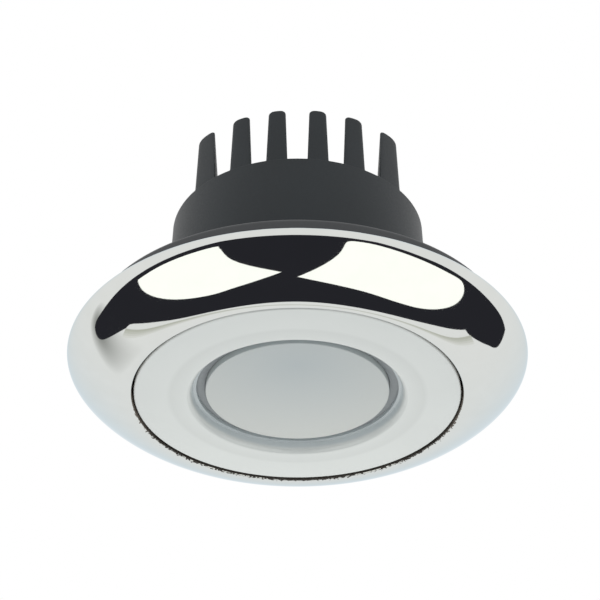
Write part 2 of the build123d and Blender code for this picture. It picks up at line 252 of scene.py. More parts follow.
def cut(piece, tools):
    """The piece with the shapes of tool objects cut out of it, which are then removed."""
    for tool in tools:
        modifier = piece.modifiers.new("cut", "BOOLEAN")
        modifier.operation = "DIFFERENCE"
        modifier.solver = "EXACT"
        modifier.object = tool
    evaluated = piece.evaluated_get(bpy.context.evaluated_depsgraph_get())
    shaped = bpy.data.meshes.new_from_object(evaluated)
    piece.modifiers.clear()
    piece.data = shaped
    for tool in tools:
        bpy.data.objects.remove(tool)
    smooth(shaped)


ceiling_holes = around(ceiling_hole_circle, screw_count, ceiling_hole_angle)
housing_holes = around(housing_screw_circle, screw_count, housing_screw_angle)
below_flange = flange_bottom - tool_overlap
above_flange = flange_top + tool_overlap
countersunk = [
    (0, below_flange),
    (ceiling_sink_radius, below_flange),
    (ceiling_sink_radius, flange_bottom),
    (ceiling_hole_radius, flange_bottom + ceiling_sink_radius - ceiling_hole_radius),
    (ceiling_hole_radius, above_flange),
    (0, above_flange),
]
stepped = [
    (0, below_flange),
    (pilot_radius, below_flange),
    (pilot_radius, screw_head_seat),
    (screw_head_seat_radius, screw_head_seat),
    (screw_head_seat_radius, above_flange),
    (0, above_flange),
]
mark_x = fin_pitch + fin_middle_gain / 2
mark_y = math.sqrt(ejector_mark_circle**2 - mark_x**2)
mark_points = [(x, y) for x in (-mark_x, mark_x) for y in (-mark_y, mark_y)]
mark = pin(ejector_mark_radius, body_height - ejector_mark_depth, body_height + tool_overlap)
hole_tools = spread("ceiling_hole", countersunk, ceiling_holes)
hole_tools += spread("screw_seat", stepped, housing_holes)
hole_tools += spread("ejector_mark", mark, mark_points)
cut(heat_sink, hole_tools)

# Posts that hang from the roof of the cup and take the screws of the two boards.
post_radius = 2.45
post_root_depth = 0.5
board_boss_circle = 13.3
board_boss_angle = 0
board_boss_end = 2.5
board_pilot_end = 7.5
standoff_circle = 8.0
standoff_angle = 60
standoff_end = 10.6
driver_pilot_end = 14.0


def post(end, pilot_end):
    """The outline of a post with a blind pilot hole in its end."""
    root = roof_bottom + post_root_depth
    outline = [(0, pilot_end), (pilot_radius, pilot_end), (pilot_radius, end)]
    return outline + [(post_radius, end), (post_radius, root), (0, root)]


def joined(piece, others):
    """The piece with other objects made part of it, each rooted in it, which are then removed."""
    shape = bmesh.new()
    for part in [piece] + others:
        shape.from_mesh(part.data)
    shape.to_mesh(piece.data)
    shape.free()
    for part in others:
        bpy.data.objects.remove(part)


board_bosses = around(board_boss_circle, screw_count, board_boss_angle)
standoffs = around(standoff_circle, screw_count, standoff_angle)
posts = spread("board_boss", post(board_boss_end, board_pilot_end), board_bosses)
posts += spread("standoff", post(standoff_end, driver_pilot_end), standoffs)
joined(heat_sink, [finished("fins", fin_shape)] + posts)

# A colour mix takes its share at socket 0 and its colours at 6 and 7, and gives the mixture at 2.
mix_share = 0
first_colour = 6
second_colour = 7
mixture = 2


def linear(code):
    """An sRGB hex colour as the linear colour that the shader takes."""
    shares = [int(code[i : i + 2], 16) / 255 for i in (1, 3, 5)]
    return [c / 12.92 if c <= 0.04045 else ((c + 0.055) / 1.055) ** 2.4 for c in shares] + [1]


def add(material, kind, settings=None, links=None):
    """Adds a node. Lower-case settings are its own, and the others and the links go to its sockets."""
    made = material.node_tree.nodes.new(kind)
    for name, value in (settings or {}).items():
        if str(name).islower():
            setattr(made, name, value)
        else:
            made.inputs[name].default_value = value
    for name, (source, output) in (links or {}).items():
        material.node_tree.links.new(source.outputs[output], made.inputs[name])
    return made


def new_material(name):
    """An empty node material, and the output that gives places on the piece in metres."""
    material = bpy.data.materials.new(name)
    material.use_nodes = True
    material.node_tree.nodes.clear()
    return material, (add(material, "ShaderNodeTexCoord"), "Object")


def dress(piece, body, node, material):
    """Gives a piece its material and the body it moves with, and hides the CAD node that it stands for."""
    piece.data.materials.clear()
    piece.data.materials.append(material)
    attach(piece, body)
    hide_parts(node)


# Satin powder coat on die-cast aluminium: blue-black, with a fine even grain that spreads every
# highlight, a slow cloudiness from the spraying, and a paler sheen where walls turn away.
# Its open pores swallow part of the sheen that a smooth paint would have.
powder_grain_size = 0.3
powder_cloud_size = 9.0
powder, place = new_material("satin_black_powder_coat")
grain = add(
    powder, "ShaderNodeTexNoise", {"Scale": 1 / (powder_grain_size * mm), "Detail": 2}, {"Vector": place}
)
cloud = add(
    powder, "ShaderNodeTexNoise", {"Scale": 1 / (powder_cloud_size * mm), "Detail": 3}, {"Vector": place}
)
powder_colour = add(
    powder,
    "ShaderNodeMix",
    {"data_type": "RGBA", first_colour: linear("#11181c"), second_colour: linear("#1a2227")},
    {mix_share: (cloud, "Fac")},
)
powder_roughness = add(
    powder, "ShaderNodeMapRange", {"To Min": 0.42, "To Max": 0.58}, {"Value": (grain, "Fac")}
)
powder_grain = add(
    powder, "ShaderNodeBump", {"Strength": 0.25, "Distance": 0.02 * mm}, {"Height": (grain, "Fac")}
)
powder_face = add(
    powder,
    "ShaderNodeBsdfPrincipled",
    {"IOR": 1.5, "Specular IOR Level": 0.36},
    {
        "Base Color": (powder_colour, mixture),
        "Roughness": (powder_roughness, "Result"),
        "Normal": (powder_grain, "Normal"),
    },
)
add(powder, "ShaderNodeOutputMaterial", None, {"Surface": (powder_face, "BSDF")})
dress(heat_sink, "light", "heat_sink", powder)

# Mounting gasket: a soft black nitrile ring that seals the flange to the ceiling. It is moulded with
# its outer top edge rounded over and two shallow grooves in its top, and the ceiling screws trap it.

gasket_radius = 32.3
gasket_bore_radius = 21.6
gasket_edge_round = 0.8
gasket_corner_round = 0.2
gasket_hole_radius = 2.15
gasket_groove_radii = (30.9, 23.8)
gasket_groove_half = 0.25
gasket_groove_depth = 0.3
gasket_groove_round = 0.1
gasket_corners = [
    (gasket_bore_radius, flange_top, gasket_corner_round),
    (gasket_radius, flange_top, gasket_corner_round),
    (gasket_radius, 0, gasket_edge_round),
]
for groove in gasket_groove_radii:
    gasket_corners += [
        (groove + gasket_groove_half, 0, gasket_groove_round),
        (groove + gasket_groove_half, -gasket_groove_depth, 0),
        (groove - gasket_groove_half, -gasket_groove_depth, 0),
        (groove - gasket_groove_half, 0, gasket_groove_round),
    ]
gasket_corners.append((gasket_bore_radius, 0, gasket_corner_round))
gasket = turned("gasket_ring", rounded(gasket_corners))
gasket_hole = pin(gasket_hole_radius, flange_top - tool_overlap, tool_overlap)
cut(gasket, spread("gasket_hole", gasket_hole, ceiling_holes))


def grained(name, colours, grain_size, roughness, relief, settings):
    """A material whose colour, roughness and relief all follow one grain.

    Colours and roughness are given at the two extremes of the grain. The grain size and the relief
    are in millimetres.
    """
    material, position = new_material(name)
    pattern = add(
        material, "ShaderNodeTexNoise", {"Scale": 1 / (grain_size * mm), "Detail": 4}, {"Vector": position}
    )
    colour = add(
        material,
        "ShaderNodeMix",
        {"data_type": "RGBA", first_colour: linear(colours[0]), second_colour: linear(colours[1])},
        {mix_share: (pattern, "Fac")},
    )
    dullness = add(
        material,
        "ShaderNodeMapRange",
        {"To Min": roughness[0], "To Max": roughness[1]},
        {"Value": (pattern, "Fac")},
    )
    bump = add(
        material,
        "ShaderNodeBump",
        {"Strength": 0.2, "Distance": relief * mm},
        {"Height": (pattern, "Fac")},
    )
    surface = add(
        material,
        "ShaderNodeBsdfPrincipled",
        settings,
        {"Base Color": (colour, mixture), "Roughness": (dullness, "Result"), "Normal": (bump, "Normal")},
    )
    add(material, "ShaderNodeOutputMaterial", None, {"Surface": (surface, "BSDF")})
    return material


# Moulded nitrile rubber: dull, slightly dusty grey-black with a faint grain in its skin.
nitrile = grained(
    "moulded_nitrile_rubber",
    colours=("#27292c", "#36393c"),
    grain_size=0.5,
    roughness=(0.42, 0.6),
    relief=0.03,
    settings={"IOR": 1.52},
)
dress(gasket, "light", "mounting_gasket", nitrile)

# Cable grommet: a nitrile bush that snaps into the roof of the cup, with a lip each side.
# The supply cable passes through its bore between the fins.

grommet_bore_radius = 2.4
grommet_bore_round = 0.3
grommet_neck_radius = 3.95
grommet_lip_radius = 5.4
grommet_lip_round = 0.5
grommet_low = 15.3
grommet_high = 21.7
grommet_dip_radius = 3.7
grommet_dip_half = 0.35
grommet_dip_depth = 0.25
grommet_dip_round = 0.1
grommet_outline = rounded(
    [
        (grommet_bore_radius, grommet_low, grommet_bore_round),
        (grommet_lip_radius, grommet_low, grommet_lip_round),
        (grommet_lip_radius, roof_bottom, 0),
        (grommet_neck_radius, roof_bottom, 0),
        (grommet_neck_radius, body_height, 0),
        (grommet_lip_radius, body_height, 0),
        (grommet_lip_radius, grommet_high, grommet_lip_round),
        (grommet_dip_radius + grommet_dip_half, grommet_high, grommet_dip_round),
        (grommet_dip_radius, grommet_high - grommet_dip_depth, grommet_dip_round),
        (grommet_dip_radius - grommet_dip_half, grommet_high, grommet_dip_round),
        (grommet_bore_radius, grommet_high, grommet_bore_round),
    ]
)
grommet = turned("grommet_bush", grommet_outline, steps=96)
dress(grommet, "light", "cable_grommet", nitrile)

# Face ring: the moulded polycarbonate front that closes the cup. Its rounded mouth steps in to a
# narrow ledge round the lens. It is screwed to the flange from behind, and a groove in its edge
# takes the bezel's spring ring.

face_radius = 24.65
face_front = -10.1
face_edge_round = 0.3
face_back_round = 0.2
face_skirt_inside = 23.15
face_plate_back = -8.1
face_hub_radius = 20.3
face_spigot_radius = 18.05
face_spigot_end = -3.15
mouth_radius = 16.25
mouth_round = 1.0
mouth_ledge_radius = 15.75
mouth_ledge_level = -8.5
mouth_ledge_round = 0.15
mouth_throat_radius = 15.3
mouth_throat_round = 0.1
lens_seat_radius = 16.65
lens_seal_front = -7.95
housing_seal_circle = 19.2
housing_groove_half = 0.75
housing_groove_floor = -6.7
snap_level = -7.9
snap_groove_half = 0.65
snap_groove_radius = 23.7
face_outline = rounded(
    [
        (mouth_radius, face_front, mouth_round),
        (face_radius, face_front, face_edge_round),
        (face_radius, snap_level - snap_groove_half, 0),
        (snap_groove_radius, snap_level - snap_groove_half, 0),
        (snap_groove_radius, snap_level + snap_groove_half, 0),
        (face_radius, snap_level + snap_groove_half, 0),
        (face_radius, flange_bottom, face_back_round),
        (face_skirt_inside, flange_bottom, 0),
        (face_skirt_inside, face_plate_back, 0),
        (face_hub_radius, face_plate_back, 0),
        (face_hub_radius, flange_bottom, 0),
        (housing_seal_circle + housing_groove_half, flange_bottom, 0),
        (housing_seal_circle + housing_groove_half, housing_groove_floor, 0),
        (housing_seal_circle - housing_groove_half, housing_groove_floor, 0),
        (housing_seal_circle - housing_groove_half, flange_bottom, 0),
        (face_spigot_radius, flange_bottom, 0),
        (face_spigot_radius, face_spigot_end, 0),
        (lens_seat_radius, face_spigot_end, 0),
        (lens_seat_radius, lens_seal_front, 0),
        (mouth_throat_radius, lens_seal_front, 0),
        (mouth_throat_radius, mouth_ledge_level, mouth_throat_round),
        (mouth_ledge_radius, mouth_ledge_level, mouth_ledge_round),
    ],
    steps=10,
)
face_ring = turned("face_ring_moulding", face_outline)

# Opal polycarbonate, moulded in a polished tool: milky white, with a soft sheen and the faint flow
# marks that a gated moulding keeps. The mouth's rounded edge and the wall inside the mouth are painted
# greyer as shade, and a faint band of painted shade on the face ends at the hub's edge.
flow_mark_size = 14.0
polish_size = 1.2
# Painted shade: the mouth's rounded edge turns greyer between these levels, and the wall inside the mouth
# greyer still.
edge_shade_start = face_front + 0.03 * mouth_round
edge_shade_full = face_front + 0.1 * mouth_round
wall_shade_start = face_front + 0.6 * mouth_round
wall_shade_full = face_front + mouth_round
hub_band_end = face_hub_radius - 0.5
hub_band_full = face_hub_radius - 1.2
opal, place = new_material("opal_polycarbonate")
flow = add(opal, "ShaderNodeTexNoise", {"Scale": 1 / (flow_mark_size * mm), "Detail": 2}, {"Vector": place})
polish = add(opal, "ShaderNodeTexNoise", {"Scale": 1 / (polish_size * mm), "Detail": 3}, {"Vector": place})
face_place = add(opal, "ShaderNodeSeparateXYZ", None, {"Vector": place})
painted_mouth_shade = add(
    opal,
    "ShaderNodeMapRange",
    {"From Min": wall_shade_start * mm, "From Max": wall_shade_full * mm},
    {"Value": (face_place, "Z")},
)
painted_mouth_edge_shade = add(
    opal,
    "ShaderNodeMapRange",
    {"From Min": edge_shade_start * mm, "From Max": edge_shade_full * mm},
    {"Value": (face_place, "Z")},
)
face_flat = add(opal, "ShaderNodeMapping", {"Scale": (1 / mm, 1 / mm, 0)}, {"Vector": place})
face_distance = add(
    opal, "ShaderNodeVectorMath", {"operation": "LENGTH"}, {"Vector": (face_flat, "Vector")}
)
# Painted shade: a faint darker band that grows from the mouth outwards and ends at the hub's edge.
over_hub = add(
    opal,
    "ShaderNodeMapRange",
    {"From Min": mouth_radius, "From Max": hub_band_full},
    {"Value": (face_distance, "Value")},
)
within_hub = add(
    opal,
    "ShaderNodeMapRange",
    {"From Min": hub_band_end, "From Max": hub_band_full},
    {"Value": (face_distance, "Value")},
)
painted_hub_band_shade = add(
    opal,
    "ShaderNodeMath",
    {"operation": "MULTIPLY"},
    {0: (over_hub, "Result"), 1: (within_hub, "Result")},
)
milk_colour = add(
    opal,
    "ShaderNodeMix",
    {"data_type": "RGBA", first_colour: linear("#d0d5d4"), second_colour: linear("#d8dddc")},
    {mix_share: (flow, "Fac")},
)
hub_band_shade_colour = add(
    opal,
    "ShaderNodeMix",
    {"data_type": "RGBA", second_colour: linear("#cdd2d1")},
    {mix_share: (painted_hub_band_shade, "Value"), first_colour: (milk_colour, mixture)},
)
# Painted shade on the mouth's rounded edge, then darker painted shade on the wall inside the mouth.
mouth_edge_shade_colour = add(
    opal,
    "ShaderNodeMix",
    {"data_type": "RGBA", second_colour: linear("#c9cecd")},
    {mix_share: (painted_mouth_edge_shade, "Result"), first_colour: (hub_band_shade_colour, mixture)},
)
opal_colour = add(
    opal,
    "ShaderNodeMix",
    {"data_type": "RGBA", second_colour: linear("#b6bfc2")},
    {mix_share: (painted_mouth_shade, "Result"), first_colour: (mouth_edge_shade_colour, mixture)},
)
opal_roughness = add(
    opal, "ShaderNodeMapRange", {"To Min": 0.18, "To Max": 0.26}, {"Value": (polish, "Fac")}
)
opal_waves = add(
    opal, "ShaderNodeBump", {"Strength": 0.05, "Distance": 0.05 * mm}, {"Height": (flow, "Fac")}
)
opal_face = add(
    opal,
    "ShaderNodeBsdfPrincipled",
    {"IOR": 1.58},
    {
        "Base Color": (opal_colour, mixture),
        "Roughness": (opal_roughness, "Result"),
        "Normal": (opal_waves, "Normal"),
    },
)
add(opal, "ShaderNodeOutputMaterial", None, {"Surface": (opal_face, "BSDF")})
dress(face_ring, "light", "face_ring", opal)

# Lens: a pressed glass window with an acid-frosted face. A plug fills the mouth, and the wider
# flange behind it is pressed on its seal by the reflector.

lens_radius = 13.9
lens_front = -8.9
lens_edge_round = 0.15
lens_flange_radius = 16.5
lens_flange_front = -7.15
lens_back = -5.95
lens_outline = rounded(
    [
        (0, lens_front, 0),
        (lens_radius, lens_front, lens_edge_round),
        (lens_radius, lens_flange_front, 0),
        (lens_flange_radius, lens_flange_front, 0),
        (lens_flange_radius, lens_back, 0),
        (0, lens_back, 0),
    ]
)
lens = turned("lens_window", lens_outline)

# Acid-frosted glass: a matt blue-grey face that hides the LEDs. Its colour is painted darker round a
# spot on the near side and paler towards the far side, as light and shade. The real frost is finer than the
# 0.25 mm drawn here.
shade_spot_offset = 8.0
frost_grain_size = 0.25
painted_light_spread = 1 / (lens_radius + shade_spot_offset)
frosted, place = new_material("acid_frosted_glass")
from_shade_spot = add(
    frosted,
    "ShaderNodeMapping",
    {"Location": (0, shade_spot_offset * painted_light_spread, 0), "Scale": (painted_light_spread / mm, painted_light_spread / mm, 0)},
    {"Vector": place},
)
shade_spot_distance = add(
    frosted, "ShaderNodeVectorMath", {"operation": "LENGTH"}, {"Vector": (from_shade_spot, "Vector")}
)
# Painted light and shade: darker round a spot on the near side, paler with distance from it.
frost_and_light_colour = add(
    frosted,
    "ShaderNodeMix",
    {"data_type": "RGBA", first_colour: linear("#b1babd"), second_colour: linear("#c6cac8")},
    {mix_share: (shade_spot_distance, "Value")},
)
frost = add(
    frosted, "ShaderNodeTexNoise", {"Scale": 1 / (frost_grain_size * mm), "Detail": 2}, {"Vector": place}
)
frost_roughness = add(
    frosted, "ShaderNodeMapRange", {"To Min": 0.45, "To Max": 0.58}, {"Value": (frost, "Fac")}
)
frost_grain = add(
    frosted, "ShaderNodeBump", {"Strength": 0.1, "Distance": 0.01 * mm}, {"Height": (frost, "Fac")}
)
frost_face = add(
    frosted,
    "ShaderNodeBsdfPrincipled",
    {"IOR": 1.52},
    {
        "Base Color": (frost_and_light_colour, mixture),
        "Roughness": (frost_roughness, "Result"),
        "Normal": (frost_grain, "Normal"),
    },
)
add(frosted, "ShaderNodeOutputMaterial", None, {"Surface": (frost_face, "BSDF")})
dress(lens, "light", "lens", frosted)

# Lens seal: a flat silicone ring that the lens flange presses on the face ring. Its edge is the grey
# floor of the groove between lens and mouth.

lens_seal_bore_radius = lens_radius + 0.05
lens_seal_round = 0.1
lens_seal_outline = rounded(
    [
        (lens_seal_bore_radius, lens_seal_front, lens_seal_round),
        (lens_flange_radius, lens_seal_front, lens_seal_round),
        (lens_flange_radius, lens_flange_front, lens_seal_round),
        (lens_seal_bore_radius, lens_flange_front, lens_seal_round),
    ],
    steps=3,
)
lens_seal = turned("lens_seal_ring", lens_seal_outline)

# Die-cut grey silicone: matt and slightly mottled.
silicone = grained(
    "grey_silicone",
    colours=("#8a9094", "#9a9fa2"),
    grain_size=0.8,
    roughness=(0.55, 0.66),
    relief=0.03,
    settings={"IOR": 1.41},
)
dress(lens_seal, "light", "lens_seal", silicone)

# Housing seal and thermal pad: an O-ring in the face ring's groove, and a soft ring that carries the
# LED board's heat into its ledge. The closed light hides both, so the CAD shapes are shown.


def finish_nodes(material, *names):
    """Gives a material to CAD nodes that are shown as they are."""
    for name in names:
        for node_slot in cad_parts[name].material_slots:
            node_slot.material = material


finish_nodes(nitrile, "housing_seal")
finish_nodes(silicone, "thermal_pad")

# Screws: small socket-head machine screws that hold the face ring and the two boards.
# Zinc plate on steel is bright and slightly cloudy.

zinc = grained(
    "zinc_plated_steel",
    colours=("#a9adb0", "#c4c7c9"),
    grain_size=0.6,
    roughness=(0.24, 0.4),
    relief=0.01,
    settings={"Metallic": 1},
)
finish_nodes(zinc, "housing_screws", "board_screws", "driver_screws")

# Bezel spring ring: an open ring of round spring wire in the face ring's edge.
# Blackened spring steel is dark and oily, and brighter where drawing has polished it.

spring_steel = grained(
    "blackened_spring_steel",
    colours=("#2c2b2a", "#4a4744"),
    grain_size=0.4,
    roughness=(0.3, 0.45),
    relief=0.01,
    settings={"Metallic": 1},
)
finish_nodes(spring_steel, "bezel_snap_ring")

# Reflector: a white cone between the LED board and the lens, which presses the lens on its seal.
# White-filled polycarbonate is chalky, with next to no gloss.

chalky = grained(
    "white_filled_polycarbonate",
    colours=("#e3e4e1", "#ecece9"),
    grain_size=1.5,
    roughness=(0.5, 0.62),
    relief=0.02,
    settings={"IOR": 1.58},
)
finish_nodes(chalky, "reflector")

# LED board: a round metal-core board on its ledge in the cup, under glossy white solder mask.
# The tracks run in rings, and show through the mask as paler, slightly raised bands.

ring_track_pitch = 4.0


def wave_scale(pitch):
    """The scale that repeats a wave pattern at a pitch: at a scale of 1 it repeats each tenth of pi."""
    return math.pi / (10 * pitch * mm)


white_mask, place = new_material("white_solder_mask")
ring_tracks = add(
    white_mask,
    "ShaderNodeTexWave",
    {
        "wave_type": "RINGS",
        "rings_direction": "Z",
        "Scale": wave_scale(ring_track_pitch),
        "Distortion": 0.4,
    },
    {"Vector": place},
)
white_mask_colour = add(
    white_mask,
    "ShaderNodeMix",
    {"data_type": "RGBA", first_colour: linear("#dcdfdb"), second_colour: linear("#e8e9e5")},
    {mix_share: (ring_tracks, "Fac")},
)
white_mask_relief = add(
    white_mask,
    "ShaderNodeBump",
    {"Strength": 0.3, "Distance": 0.04 * mm},
    {"Height": (ring_tracks, "Fac")},
)
white_mask_face = add(
    white_mask,
    "ShaderNodeBsdfPrincipled",
    {"IOR": 1.55, "Roughness": 0.28},
    {"Base Color": (white_mask_colour, mixture), "Normal": (white_mask_relief, "Normal")},
)
add(white_mask, "ShaderNodeOutputMaterial", None, {"Surface": (white_mask_face, "BSDF")})
finish_nodes(white_mask, "led_board")

# LED emitters: six surface-mounted packages, each with a small dome. The package is white nylon and
# the dome is silicone with yellow phosphor in it, so the colour changes at the dome's foot.

led_package_front = 0.2
package_blend_half = 0.05
speckle_size = 0.2
phosphor, place = new_material("phosphor_filled_silicone")
led_place = add(phosphor, "ShaderNodeSeparateXYZ", None, {"Vector": place})
on_package = add(
    phosphor,
    "ShaderNodeMapRange",
    {
        "From Min": (led_package_front - package_blend_half) * mm,
        "From Max": (led_package_front + package_blend_half) * mm,
    },
    {"Value": (led_place, "Z")},
)
speckle = add(
    phosphor, "ShaderNodeTexNoise", {"Scale": 1 / (speckle_size * mm), "Detail": 2}, {"Vector": place}
)
dome_colour = add(
    phosphor,
    "ShaderNodeMix",
    {"data_type": "RGBA", first_colour: linear("#d9b63a"), second_colour: linear("#ecd264")},
    {mix_share: (speckle, "Fac")},
)
led_colour = add(
    phosphor,
    "ShaderNodeMix",
    {"data_type": "RGBA", second_colour: linear("#e6e5df")},
    {mix_share: (on_package, "Result"), first_colour: (dome_colour, mixture)},
)
led_face = add(
    phosphor,
    "ShaderNodeBsdfPrincipled",
    {"IOR": 1.41, "Roughness": 0.3},
    {"Base Color": (led_colour, mixture)},
)
add(phosphor, "ShaderNodeOutputMaterial", None, {"Surface": (led_face, "BSDF")})
finish_nodes(phosphor, "led_emitters")

# Socket and terminal block: moulded insulators that take the header pins and the supply leads.
# White nylon is slightly waxy, with a fine spark-eroded texture from its tool.

nylon = grained(
    "moulded_white_nylon",
    colours=("#dcdad3", "#e6e4dd"),
    grain_size=0.3,
    roughness=(0.4, 0.52),
    relief=0.02,
    settings={"IOR": 1.53},
)
finish_nodes(nylon, "led_socket", "terminal_block")

# Driver board: a round glass-epoxy board on standoffs under the roof of the cup, under green solder
# mask. Rows of copper tracks show through the mask as paler bands.

track_length = 4.0
track_pitch = 1.0
green_mask, place = new_material("green_solder_mask")
tracks = add(
    green_mask,
    "ShaderNodeTexBrick",
    {
        "Color1": linear("#1d5a38"),
        "Color2": linear("#256b44"),
        "Mortar": linear("#164a2d"),
        "Scale": 1 / (track_length * mm),
        "Mortar Size": 0.03,
        "Brick Width": 1.0,
        "Row Height": track_pitch / track_length,
    },
    {"Vector": place},
)
track_relief = add(
    green_mask,
    "ShaderNodeBump",
    {"invert": True, "Strength": 0.3, "Distance": 0.04 * mm},
    {"Height": (tracks, "Fac")},
)
green_mask_face = add(
    green_mask,
    "ShaderNodeBsdfPrincipled",
    {"IOR": 1.55, "Roughness": 0.25},
    {"Base Color": (tracks, "Color"), "Normal": (track_relief, "Normal")},
)
add(green_mask, "ShaderNodeOutputMaterial", None, {"Surface": (green_mask_face, "BSDF")})
finish_nodes(green_mask, "driver_board")

# Choke: a ferrite drum with a winding of enamelled copper wire between its flanges.
# Ferrite is a dull dark ceramic. The turns of wire lie side by side.

ferrite = grained(
    "sintered_ferrite",
    colours=("#262526", "#343233"),
    grain_size=0.25,
    roughness=(0.5, 0.65),
    relief=0.02,
    settings={"IOR": 1.9},
)
finish_nodes(ferrite, "inductor_core")
wire_pitch = 0.35
enamelled, place = new_material("enamelled_copper_wire")
turns = add(
    enamelled,
    "ShaderNodeTexWave",
    {"bands_direction": "Z", "Scale": wave_scale(wire_pitch)},
    {"Vector": place},
)
wire_colour = add(
    enamelled,
    "ShaderNodeMix",
    {"data_type": "RGBA", first_colour: linear("#7a3d1c"), second_colour: linear("#c4783c")},
    {mix_share: (turns, "Fac")},
)
wire_relief = add(
    enamelled, "ShaderNodeBump", {"Strength": 0.8, "Distance": 0.15 * mm}, {"Height": (turns, "Fac")}
)
wire_face = add(
    enamelled,
    "ShaderNodeBsdfPrincipled",
    {"Metallic": 1, "Roughness": 0.3},
    {"Base Color": (wire_colour, mixture), "Normal": (wire_relief, "Normal")},
)
add(enamelled, "ShaderNodeOutputMaterial", None, {"Surface": (wire_face, "BSDF")})
finish_nodes(enamelled, "inductor_winding")

# Input capacitor: a drawn aluminium can, crimped above its base.
# Drawn aluminium is bright and faintly scored.

drawn_can = grained(
    "drawn_aluminium",
    colours=("#b4b6b8", "#cbcdce"),
    grain_size=0.5,
    roughness=(0.28, 0.42),
    relief=0.01,
    settings={"Metallic": 1},
)
finish_nodes(drawn_can, "input_capacitor")

# Chip, diodes, resistors and header: small moulded bodies soldered to the driver board.
# Filled epoxy is near-black and matt, with a fine sparkle of filler.

epoxy = grained(
    "filled_black_epoxy",
    colours=("#1b1b1c", "#29292b"),
    grain_size=0.2,
    roughness=(0.5, 0.66),
    relief=0.02,
    settings={"IOR": 1.55},
)
finish_nodes(epoxy, "driver_chip", "rectifier_diodes", "chip_resistors", "header_block")

# Header pins: square pins from the driver board to the LED board's socket.
# Drawn brass is yellow, bright and slightly tarnished.

brass = grained(
    "drawn_brass",
    colours=("#a98a45", "#cdb06a"),
    grain_size=0.4,
    roughness=(0.25, 0.4),
    relief=0.01,
    settings={"Metallic": 1},
)
finish_nodes(brass, "header_pins")

# Bezel: the domed trim ring, a thin zinc casting in bright chrome. Its inner sleeve snaps over
# the spring ring, so it pulls straight off to reach the ceiling screws.

bezel_radius = 35.0
bezel_wall = 1.5
bezel_rim = -3.5
bezel_rim_round = 0.65
bezel_lip = -10.3
bezel_lip_round = 0.2
bezel_front_reach = 4.2
bezel_side_reach = 1.5
sleeve_radius = 25.0
sleeve_wall = 1.4
sleeve_groove_radius = 25.15


def curve(start, pull, push, end, steps):
    """Points along a cubic curve, without its last one."""
    points = []
    for step in range(steps):
        t = step / steps
        weights = ((1 - t) ** 3, 3 * t * (1 - t) ** 2, 3 * t**2 * (1 - t), t**3)
        radius = sum(w * p[0] for w, p in zip(weights, (start, pull, push, end)))
        level = sum(w * p[1] for w, p in zip(weights, (start, pull, push, end)))
        points.append((radius, level))
    return points


def arc(centre, radius, first_angle, last_angle, steps):
    """Points along an arc, without its last one."""
    step_angle = (last_angle - first_angle) / steps
    angles = [math.radians(first_angle + step_angle * i) for i in range(steps)]
    return [(centre[0] + radius * math.cos(a), centre[1] + radius * math.sin(a)) for a in angles]


# The dome is one curve, which leaves the lip level and comes upright into the rim. The inside runs
# about a wall's thickness behind it.
dome_end_level = bezel_rim - bezel_rim_round
sleeve_outside = sleeve_radius + sleeve_wall
lip_centre = (sleeve_radius + bezel_lip_round, bezel_lip + bezel_lip_round)
rim_centre = (bezel_radius - bezel_rim_round, dome_end_level)
dome_start = (lip_centre[0], bezel_lip)
inside_start = (bezel_radius - bezel_wall, dome_end_level)
inside_end = (sleeve_outside, bezel_lip + bezel_wall)
bezel_outline = arc(lip_centre, bezel_lip_round, 180, 270, steps=6)
bezel_outline += curve(
    dome_start,
    (dome_start[0] + bezel_front_reach, bezel_lip),
    (bezel_radius, dome_end_level - bezel_side_reach),
    (bezel_radius, dome_end_level),
    steps=48,
)
bezel_outline += arc(rim_centre, bezel_rim_round, 0, 90, steps=8)
bezel_outline += [(rim_centre[0], bezel_rim), (inside_start[0], bezel_rim)]
bezel_outline += curve(
    inside_start,
    (inside_start[0], dome_end_level - bezel_side_reach),
    (inside_end[0] + bezel_front_reach - bezel_wall, inside_end[1]),
    inside_end,
    steps=20,
)
bezel_outline += [
    inside_end,
    (sleeve_outside, flange_bottom),
    (sleeve_radius, flange_bottom),
    (sleeve_radius, snap_level + snap_groove_half),
    (sleeve_groove_radius, snap_level + snap_groove_half),
    (sleeve_groove_radius, snap_level - snap_groove_half),
    (sleeve_radius, snap_level - snap_groove_half),
]
bezel = turned("bezel_dome", bezel_outline, steps=256)

# Bright chrome plate on buffed zinc: a near-perfect mirror with a warm cast, bluer where it is seen
# edge on, and with the slow waviness that buffing leaves. The plating ends at the lip, and the bare
# casting inside the sleeve is dull and grey-brown. On the far side a ragged band of the lip is left
# unplated, and the bare casting is painted much darker there as shade.
haze_size = 3.0
buffing_size = 12.0
rag_size = 0.4
rag_reach = 0.8
# Painted shade: the far side of the bezel, beyond these distances from the axis, is darkened.
far_shade_start = -2.0
far_shade_full = 12.0
sleeve_start = bezel_lip + 0.1
sleeve_full = bezel_lip + 0.2
sleeve_bare_reach = 0.4
plate_start = sleeve_radius - 0.08
plate_full = sleeve_radius - 0.04
chrome, place = new_material("bright_chrome_plate")
haze = add(chrome, "ShaderNodeTexNoise", {"Scale": 1 / (haze_size * mm), "Detail": 4}, {"Vector": place})
buffing = add(
    chrome, "ShaderNodeTexNoise", {"Scale": 1 / (buffing_size * mm), "Detail": 1}, {"Vector": place}
)
bezel_place = add(chrome, "ShaderNodeSeparateXYZ", None, {"Vector": place})
far_side_shade = add(
    chrome,
    "ShaderNodeMapRange",
    {"From Min": far_shade_start * mm, "From Max": far_shade_full * mm},
    {"Value": (bezel_place, "Y")},
)
in_sleeve = add(
    chrome,
    "ShaderNodeMapRange",
    {"From Min": sleeve_start * mm, "From Max": sleeve_full * mm, "To Max": sleeve_bare_reach},
    {"Value": (bezel_place, "Z")},
)
